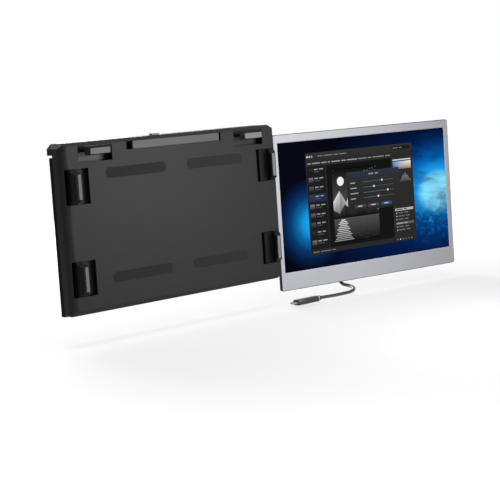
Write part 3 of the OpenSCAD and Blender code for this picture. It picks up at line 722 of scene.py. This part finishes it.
def sky_picture(name, strength):
    """Wallpaper: a night blue ground with a soft lamp glow and drifting light."""
    r = lit_glass(name, strength)
    place = r.add("ShaderNodeUVMap", uv_map="screen").outputs["UV"]

    def spot(centre, squeeze, stops):
        mapping = r.add("ShaderNodeMapping")
        mapping.inputs["Location"].default_value = (-centre[0] * squeeze[0],
                                                    -centre[1] * squeeze[1], 0)
        mapping.inputs["Scale"].default_value = (*squeeze, 1)
        r.link(place, mapping.inputs["Vector"])
        away = r.add("ShaderNodeVectorMath", operation="LENGTH")
        r.link(mapping.outputs["Vector"], away.inputs[0])
        return r.ramp(away.outputs["Value"], stops)

    ground = spot((0.84, 0.40), (1.15, 1.1),
                  ((0.1, (0.0, 0.022, 0.12)), (0.40, (0.0, 0.010, 0.065)),
                   (0.85, (0.0004, 0.0006, 0.0045))))
    lamp = spot((0.165, 0.355), (5.0, 2.75),
                ((0.0, (0.009, 0.38, 0.84)), (0.22, (0.006, 0.30, 0.70)),
                 (0.40, (0.002, 0.125, 0.36)), (0.60, (0.0, 0.036, 0.135)),
                 (0.80, (0.0, 0.010, 0.045)), (1.0, (0.0, 0.0, 0.0))))
    bright = spot((0.95, 0.475), (2.5, 1.9),
                  ((0.0, (0.30, 0.82, 0.97)), (0.24, (0.21, 0.74, 0.92)),
                   (0.36, (0.012, 0.32, 0.72)), (0.54, (0.0, 0.115, 0.37)),
                   (0.76, (0.0, 0.030, 0.13)), (0.88, (0.0, 0.008, 0.04)),
                   (1.0, (0.0, 0.0, 0.0))))
    drift = r.noise(0.10, detail=8.0, rough=0.6, where=r.stretched((0.55, 0.8, 1), place))
    flecks = r.noise(0.035, detail=8.0, rough=0.65, where=r.stretched((1.0, 0.7, 1), place))
    soft = r.ramp(drift, ((0.36, 0.38), (0.48, 0.80), (0.58, 1.0)))
    broken = r.ramp(flecks, ((0.42, 0.16), (0.54, 0.34), (0.64, 1.0)))
    parts = r.add("ShaderNodeSeparateXYZ")
    r.link(place, parts.inputs[0])
    upper = r.add("ShaderNodeMapRange")
    upper.inputs["From Min"].default_value = 0.28
    upper.inputs["From Max"].default_value = 0.44
    r.link(parts.outputs["Y"], upper.inputs["Value"])
    clouds = r.mix(upper.outputs["Result"], broken, soft)
    glow = r.blend("ADD", r.blend("ADD", ground, lamp), r.blend("MULTIPLY", bright, clouds))
    r.link(glow, r.shader.inputs["Emission Color"])
    return r.material


def tinted_picture(name, strength):
    """Flat shapes on the screen, each with the tint that its corners carry."""
    r = lit_glass(name, strength)
    tint = r.add("ShaderNodeVertexColor", layer_name="tint").outputs["Color"]
    r.link(tint, r.shader.inputs["Emission Color"])
    return r.material


def tone(red, green, blue):
    """Linear colour from screen levels of 0 to 255."""
    return tuple((level / 255) ** 2.2 for level in (red, green, blue))


def grey(level):
    return tone(level, level, level)


class Picture:
    """Flat coloured shapes on the screen. u runs to the right and v down, both from 0 to 1."""

    def __init__(self):
        self.matrix = monitor_matrix()
        inverse = self.matrix.inverted()
        corners = [inverse @ v.co for v in frame["nodes"]["display_panel"].data.vertices]
        rim = 1.5 * MM
        self.left = min(c.x for c in corners) + rim
        self.width = max(c.x for c in corners) - rim - self.left
        self.foot = min(c.z for c in corners) + rim
        self.height = max(c.z for c in corners) - rim - self.foot
        self.front = min(c.y for c in corners)
        self.bm = bmesh.new()
        self.tint = self.bm.loops.layers.float_color.new("tint")
        self.uv = self.bm.loops.layers.uv.new("screen")

    def at(self, u, v, layer):
        return self.matrix @ Vector((self.left + u * self.width,
                                     self.front - (layer + 1) * LAYER_GAP * MM,
                                     self.foot + (1 - v) * self.height))

    def shape(self, points, layer, *tints):
        face = self.bm.faces.new([self.bm.verts.new(self.at(u, v, layer)) for u, v in points])
        for k, (loop, (u, v)) in enumerate(zip(face.loops, points)):
            loop[self.tint] = (*tints[k % len(tints)], 1)
            loop[self.uv].uv = (u, 1 - v)
        return face

    def area(self, u0, v0, u1, v1, layer, top, foot=None):
        """A rectangle whose tint may run from top to foot."""
        foot = foot or top
        self.shape(((u0, v1), (u1, v1), (u1, v0), (u0, v0)), layer, foot, foot, top, top)

    def disc(self, u, v, radius, layer, tint, steps=20):
        ratio = self.width / self.height
        self.shape([(u + radius * math.cos(2 * math.pi * k / steps),
                     v - radius * ratio * math.sin(2 * math.pi * k / steps))
                    for k in range(steps)], layer, tint)

    def words(self, u, v, layer, widths, tint, high=0.008, gap=0.008):
        """A line of short bars, as text looks from afar."""
        for wide in widths:
            self.area(u, v, u + wide, v + high, layer, tint)
            u += wide + gap

    def mesh(self, name):
        mesh = bpy.data.meshes.new(name)
        self.bm.to_mesh(mesh)
        self.bm.free()
        return mesh


def mountain(picture, u0, u1, base, peaks, layer, top, foot):
    """A ridge from u0 to u1: peaks are heights at even steps, with shaded flanks."""
    steps = len(peaks) - 1
    span = (u1 - u0) / steps
    for k, (a, b) in enumerate(zip(peaks, peaks[1:])):
        left = u0 + k * span
        flank = top if b < a else shade(top, 0.55)
        picture.shape(((left, base), (left + span, base), (left + span, b), (left, a)),
                      layer, foot, foot, flank, flank)


class EXTENDER_OT_screen(bpy.types.Operator):
    """Light the screen and lay a plain desktop picture on it"""
    bl_idname = "extender.screen"
    bl_label = "Screen"

    def execute(self, context):
        strength = context.scene.extender_monitor.screen_glow
        dress("display_panel")
        ground = Picture()
        ground.area(0, 0, 1, 1, 0, grey(0))
        new_object("wallpaper", ground.mesh("wallpaper"), "screen_glass", "monitor",
                   [sky_picture("sky_picture", strength)])
        desk = Picture()
        self.window(desk)
        self.list_column(desk)
        self.canvas(desk)
        self.tool_column(desk)
        self.palette(desk)
        new_object("desktop_window", desk.mesh("desktop_window"), "screen_glass", "monitor",
                   [tinted_picture("tinted_picture", strength)])
        return {"FINISHED"}

    def window(self, p):
        p.area(*WINDOW, 1, grey(46), grey(44))
        p.area(*TITLE_BAR, 2, grey(53), grey(47))
        for k, level in enumerate((235, 205, 175)):
            p.disc(0.163 + 0.013 * k, 0.128, 0.0042, 3, grey(level))
        p.words(0.222, 0.124, 3, (0.03, 0.05, 0.024, 0.04), grey(120))
        p.area(*SEARCH_FIELD, 3, grey(34))
        p.words(0.673, 0.124, 4, (0.03, 0.018), grey(110))
        p.words(0.162, 0.178, 3, (0.02, 0.045, 0.03, 0.012, 0.05, 0.026, 0.06), grey(160))
        p.words(0.46, 0.178, 3, (0.05, 0.02, 0.07, 0.03), grey(135))
        p.words(0.165, 0.871, 3, (0.035, 0.06, 0.02), grey(110))
        for k in range(6):
            p.disc(0.672 + 0.018 * k, 0.875, 0.003, 3, grey(235 if k == 1 else 130))

    def list_column(self, p):
        p.area(*LIST_COLUMN, 2, grey(33))
        first, step, chosen = 0.221, 0.070, 3
        for k in range(9):
            v = first + step * k
            if k == chosen:
                p.area(0.159, v - 0.009, 0.260, v + 0.050, 3, tone(34, 52, 80))
            p.area(0.164, v, 0.191, v + 0.040, 4, grey(50 + 12 * (k * 5 % 7)),
                   grey(24 + 8 * (k * 3 % 5)))
            p.words(0.198, v + 0.004, 4, (0.020, 0.024 - 0.002 * (k % 4)), grey(150), 0.009)
            p.words(0.198, v + 0.024, 4, (0.028 + 0.004 * (k % 3),), grey(80), 0.007)

    def canvas(self, p):
        p.area(*CANVAS, 2, grey(25))
        u0, v0, u1, v1 = LANDSCAPE
        lake = 0.640
        moon_u, moon_v = 0.346, 0.345
        p.area(u0, v0, u1, lake, 3, grey(12), grey(85))
        for k in range(16):
            p.disc(u0 + 0.012 + 0.0165 * (k * 7 % 16), v0 + 0.012 + 0.013 * (k * 5 % 9),
                   0.0012 + 0.0004 * (k % 3), 4, grey(150 + 12 * (k % 5)), 8)
        p.disc(moon_u, moon_v, 0.020, 4, grey(240), 28)
        mountain(p, u0, u1, lake, (0.50, 0.42, 0.52, 0.36, 0.47, 0.43, 0.55, 0.49), 5,
                 grey(215), grey(62))
        mountain(p, u0, u1, lake, (0.57, 0.60, 0.53, 0.58, 0.55, 0.50, 0.58, 0.56, 0.61), 6,
                 grey(62), grey(15))
        p.area(u0, lake, u1, v1, 5, grey(78), grey(16))
        gleam_u = moon_u + 0.004
        for k in range(12):
            v = lake + 0.010 + 0.0145 * k
            wide = 0.012 + 0.005 * (k % 3) + 0.0032 * k
            p.area(gleam_u - wide, v, gleam_u + wide, v + 0.007, 6, grey(235 - 8 * k))
        for k in range(16):
            v = lake + 0.010 + 0.0110 * k
            u = u0 + 0.11 + 0.12 * ((k * 7) % 11) / 11
            p.area(u, v, u + 0.02 + 0.003 * (k % 4), v + 0.003, 6, grey(62))

    def palette(self, p):
        """A floating panel with sliders and switches."""
        p.area(*PALETTE, 7, grey(50), grey(44))
        p.area(*PALETTE_HEAD, 8, tone(50, 55, 68), tone(46, 50, 60))
        p.words(0.515, 0.307, 9, (0.03, 0.02), grey(150), 0.009)
        start, end = 0.480, 0.665
        for k, value in enumerate((0.62, 0.35, 0.80, 0.48)):
            v = 0.372 + 0.042 * k
            stop = start + (end - start) * value
            p.words(0.402, v - 0.004, 9, (0.030 + 0.008 * (k % 3),), grey(165))
            p.area(start, v - 0.0015, end, v + 0.0025, 9, grey(88))
            p.area(start, v - 0.0015, stop, v + 0.0025, 10, tone(78, 108, 148))
            p.disc(stop, v, 0.0046, 11, grey(235))
        for k in range(3):
            u = 0.424 + 0.080 * k
            p.area(u, 0.549, u + 0.064, 0.575, 9, grey(70) if k < 2 else tone(46, 80, 124))
            p.words(u + 0.018, 0.558, 10, (0.026,), grey(190), 0.008)

    def tool_column(self, p):
        p.area(*TOOL_COLUMN, 2, grey(47), grey(44))
        u0, u1 = 0.667, 0.780
        p.area(u0, 0.221, u1, 0.232, 3, grey(200))
        p.shape(((u0, 0.302), (u1, 0.302), (u1, 0.240), (u0, 0.240)), 3,
                tone(25, 60, 120), tone(170, 120, 60), tone(245, 240, 225), tone(60, 150, 220))
        heights = (1, 2, 4, 7, 9, 8, 10, 12, 9, 7, 8, 5, 3, 2, 1)
        for k, high in enumerate(heights):
            u = 0.708 + 0.0046 * k
            p.area(u, 0.400 - 0.0055 * high, u + 0.0042, 0.400, 3, grey(120), grey(76))
        p.area(u0, 0.4015, u1, 0.4045, 3, grey(90))
        for block, top in enumerate((0.622, 0.735)):
            p.area(u0, top, u1, top + 0.020, 3, grey(185 - 90 * block))
            p.words(0.673, top + 0.006, 4, (0.04, 0.02), grey(50 + 110 * block))
            for k in range(3 - block):
                v = top + 0.034 + 0.026 * k
                p.disc(0.675, v + 0.005, 0.003, 4, grey(190))
                p.words(0.686, v, 4, (0.03 + 0.008 * (k % 2), 0.024), grey(115))


# ---------- stage ----------

# Place and size of each soft light, and what they all point at, metres
SOFT_LIGHTS = {
    "key": ((0.19, -0.42, 0.10), (0.36, 0.36)),
    "side": ((-0.5, -1.1, 0.15), (0.8, 0.6)),
    "rear": ((0.6, 1.5, 0.45), (1.0, 1.0)),
}
LIGHT_TARGET = (0.02, 0, -0.01)
OVERHEAD_WIDTH = 50  # degrees
FLOOR_REACH = 4.0  # metres to each side of the origin


def seen_share(tree, camera, mirror):
    """A value that is camera where the camera looks and mirror where a reflection does."""
    path = tree.nodes.new("ShaderNodeLightPath").outputs
    gloss = arithmetic(tree, "MAXIMUM", path["Is Glossy Ray"], path["Is Transmission Ray"])
    reflected = arithmetic(tree, "MULTIPLY", gloss, mirror)
    direct = arithmetic(tree, "MULTIPLY", path["Is Camera Ray"], camera)
    return arithmetic(tree, "MAXIMUM", reflected, direct)


class EXTENDER_OT_stage(bpy.types.Operator):
    """Lay the pale floor and set the soft lights"""
    bl_idname = "extender.stage"
    bl_label = "Stage"

    def execute(self, context):
        s = context.scene.extender_stage
        scene = context.scene
        scene.view_settings.view_transform = "Standard"
        self.floor(s)
        self.world(scene, s)
        for name, (place, size) in SOFT_LIGHTS.items():
            self.soft_light(name, place, size, getattr(s, name))
        self.overhead(s)
        return {"FINISHED"}

    def floor(self, s):
        drop = CAD_BOX[0].z - s.floor_drop
        bm = bmesh.new()
        bm.faces.new([bm.verts.new((x * FLOOR_REACH, y * FLOOR_REACH, drop))
                      for x, y in ((-1, -1), (1, -1), (1, 1), (-1, 1))])
        mesh = bpy.data.meshes.new("floor")
        bm.to_mesh(mesh)
        bm.free()
        floor = bpy.data.objects.new("floor", mesh)
        bpy.context.scene.collection.objects.link(floor)
        material = bpy.data.materials.new("pale_floor")
        material.use_nodes = True
        tree = material.node_tree
        surface = tree.nodes["Principled BSDF"]
        surface.inputs["Base Color"].default_value = (*s.floor, 1)
        surface.inputs["Roughness"].default_value = 0.9
        glow = tree.nodes.new("ShaderNodeEmission")
        white = self.white_by_distance(tree, s)
        tree.links.new(seen_share(tree, white, s.mirror), glow.inputs["Strength"])
        both = tree.nodes.new("ShaderNodeAddShader")
        tree.links.new(surface.outputs[0], both.inputs[0])
        tree.links.new(glow.outputs[0], both.inputs[1])
        tree.links.new(both.outputs[0], tree.nodes["Material Output"].inputs["Surface"])
        mesh.materials.append(material)

    def white_by_distance(self, tree, s):
        """Less added white near the object, so that its shadow shows there."""
        place = tree.nodes.new("ShaderNodeTexCoord")
        away = tree.nodes.new("ShaderNodeVectorMath")
        away.operation = "DISTANCE"
        away.inputs[1].default_value = (CAD_BOX[0] + CAD_BOX[1]) / 2
        tree.links.new(place.outputs["Object"], away.inputs[0])
        level = tree.nodes.new("ShaderNodeMapRange")
        level.interpolation_type = "SMOOTHSTEP"
        level.inputs["From Min"].default_value = s.shadow_reach
        level.inputs["From Max"].default_value = 3 * s.shadow_reach
        level.inputs["To Min"].default_value = s.near_white
        level.inputs["To Max"].default_value = s.white
        tree.links.new(away.outputs["Value"], level.inputs["Value"])
        return level.outputs["Result"]

    def world(self, scene, s):
        world = bpy.data.worlds.new("even_light")
        scene.world = world
        world.use_nodes = True
        tree = world.node_tree
        back = tree.nodes["Background"]
        back.inputs["Color"].default_value = (1, 1, 1, 1)
        share = seen_share(tree, 1.0, s.mirror)
        level = tree.nodes.new("ShaderNodeMapRange")
        level.inputs["To Min"].default_value = s.fill
        level.inputs["To Max"].default_value = 1.0
        tree.links.new(share, level.inputs["Value"])
        tree.links.new(level.outputs["Result"], back.inputs["Strength"])

    def overhead(self, s):
        data = bpy.data.lights.new("overhead", "SUN")
        data.energy = s.overhead
        data.angle = math.radians(OVERHEAD_WIDTH)
        lamp = bpy.data.objects.new("overhead", data)
        bpy.context.scene.collection.objects.link(lamp)
        lamp.location = (0, 0, 2)

    def soft_light(self, name, place, size, watts):
        data = bpy.data.lights.new(name, "AREA")
        data.shape = "RECTANGLE"
        data.size, data.size_y = size
        data.energy = watts
        lamp = bpy.data.objects.new(name, data)
        bpy.context.scene.collection.objects.link(lamp)
        lamp.location = place
        aim = Vector(LIGHT_TARGET) - Vector(place)
        lamp.rotation_euler = aim.to_track_quat("-Z", "Y").to_euler()


# ---------- panel and registration ----------

OPERATORS = (
    EXTENDER_OT_camera, EXTENDER_OT_lead, EXTENDER_OT_housing, EXTENDER_OT_hooks,
    EXTENDER_OT_lock, EXTENDER_OT_kickstand, EXTENDER_OT_hinge, EXTENDER_OT_monitor,
    EXTENDER_OT_screen, EXTENDER_OT_stage,
)
SETTINGS = (
    ("extender_housing", HousingSettings), ("extender_monitor", MonitorSettings),
    ("extender_lead", LeadSettings), ("extender_stage", StageSettings),
)


class EXTENDER_PT_sidebar(bpy.types.Panel):
    """Settings and steps of the screen extender"""
    bl_label = "Screen extender"
    bl_idname = "EXTENDER_PT_sidebar"
    bl_space_type = "VIEW_3D"
    bl_region_type = "UI"
    bl_category = "Extender"

    def draw(self, context):
        layout = self.layout
        for name, group in SETTINGS:
            box = layout.box()
            settings = getattr(context.scene, name)
            for key in group.__annotations__:
                box.prop(settings, key)
        for operator in OPERATORS:
            layout.operator(operator.bl_idname)


def register():
    for name, group in SETTINGS:
        bpy.utils.register_class(group)
        setattr(bpy.types.Scene, name, PointerProperty(type=group))
    for operator in OPERATORS:
        bpy.utils.register_class(operator)
    bpy.utils.register_class(EXTENDER_PT_sidebar)


def unregister():
    bpy.utils.unregister_class(EXTENDER_PT_sidebar)
    for operator in reversed(OPERATORS):
        bpy.utils.unregister_class(operator)
    for name, group in reversed(SETTINGS):
        delattr(bpy.types.Scene, name)
        bpy.utils.unregister_class(group)


def main():
    register()
    for operator in OPERATORS:
        group, step = operator.bl_idname.split(".")
        getattr(getattr(bpy.ops, group), step)()


if __name__ == "__main__":
    main()
